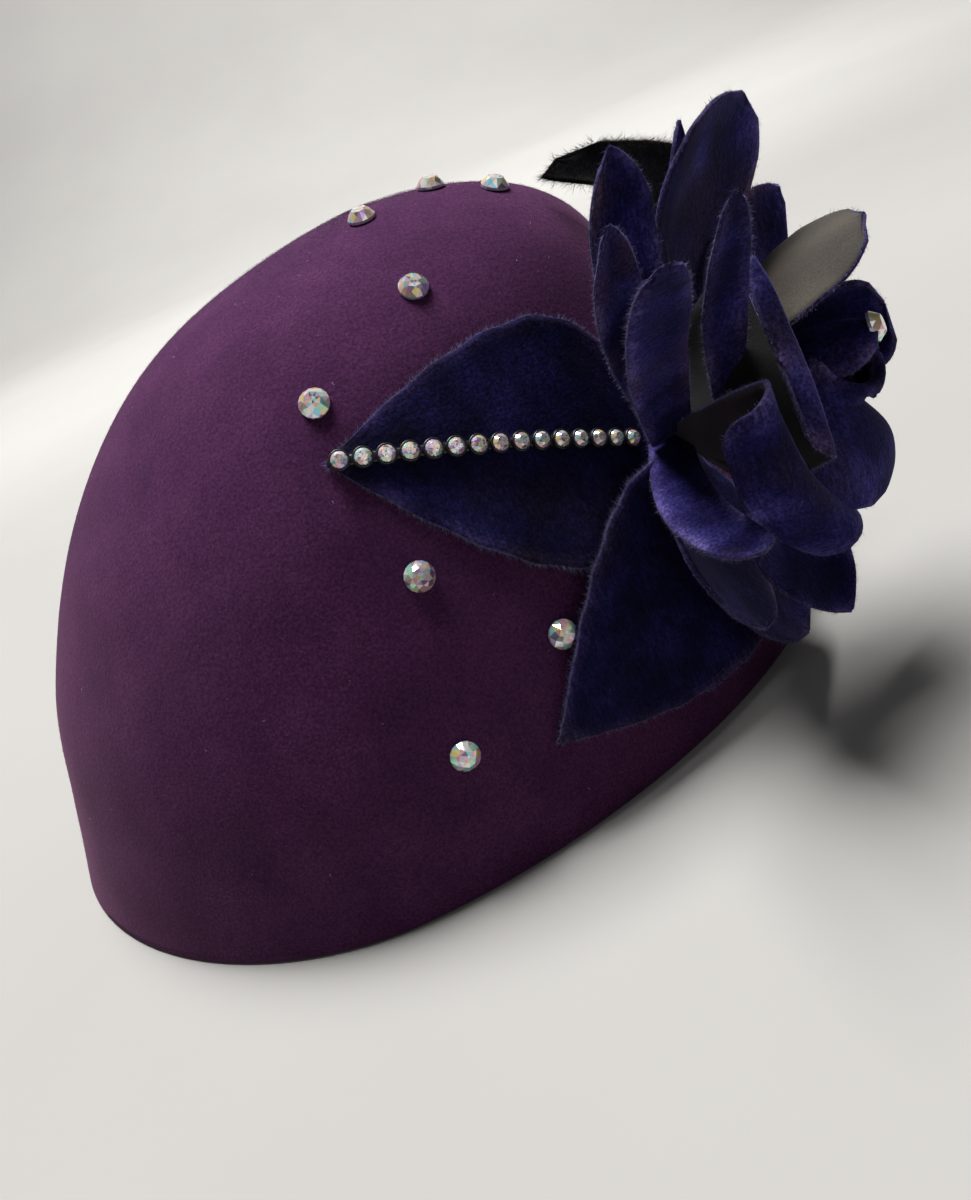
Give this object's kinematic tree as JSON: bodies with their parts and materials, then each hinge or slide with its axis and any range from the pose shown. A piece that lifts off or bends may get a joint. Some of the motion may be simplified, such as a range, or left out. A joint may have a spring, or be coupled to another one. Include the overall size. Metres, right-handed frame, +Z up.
{
  "type": "wool felt hat with a velvet rose",
  "caption": "Tall rounded wool felt hat with no brim, open below for the head, with a layered velvet rose, velvet leaves and cut stones on one side.",
  "frame": {"origin": "middle of the whole hat's bounding box, on the level rim plane", "axes": "+X towards the hat's front, +Z up, the velvet rose on the front at the -Y side"},
  "size_m": [0.2634, 0.2098, 0.1445],
  "materials": {
    "felt": "matte blocked wool felt",
    "velvet": "short pile velvet with frayed cut edges",
    "backing": "plain woven backing, matte",
    "crystal": "faceted and foiled, with a rainbow coat",
    "black_band": "black band with round cups"
  },
  "bodies": {
    "root": {"felt_crown": "felt", "rose_core": "backing", "stone_rose": "crystal", "stone_crown_1": "crystal", "stone_crown_2": "crystal", "stone_crown_3": "crystal", "stone_crown_4": "crystal", "stone_crown_5": "crystal", "stone_crown_6": "crystal", "stone_crown_7": "crystal", "stone_crown_8": "crystal", "leaf_front": "velvet", "leaf_low": "velvet", "chain_band": "black_band", "chain_stone_1": "crystal", "chain_stone_2": "crystal", "chain_stone_3": "crystal", "chain_stone_4": "crystal", "chain_stone_5": "crystal", "chain_stone_6": "crystal", "chain_stone_7": "crystal", "chain_stone_8": "crystal", "chain_stone_9": "crystal", "chain_stone_10": "crystal", "chain_stone_11": "crystal", "chain_stone_12": "crystal", "chain_stone_13": "crystal", "chain_stone_14": "crystal", "chain_stone_15": "crystal", "petal_near_upper": "velvet", "petal_near_lower": "velvet", "petal_narrow": "velvet", "petal_low_rolled": "velvet", "petal_wide_rolled": "velvet", "petal_wrap": "velvet", "petal_centre": "velvet", "petal_heart": "velvet", "petal_inner_back": "velvet", "petal_tongue": "velvet", "petal_lower_front": "velvet", "petal_left_fold": "velvet", "petal_left": "velvet", "petal_right": "velvet", "petal_tall": "velvet", "petal_behind": "velvet", "petal_lower_near": "velvet", "petal_lower": "velvet", "leaf_back": "velvet"}
  },
  "joints": []
}
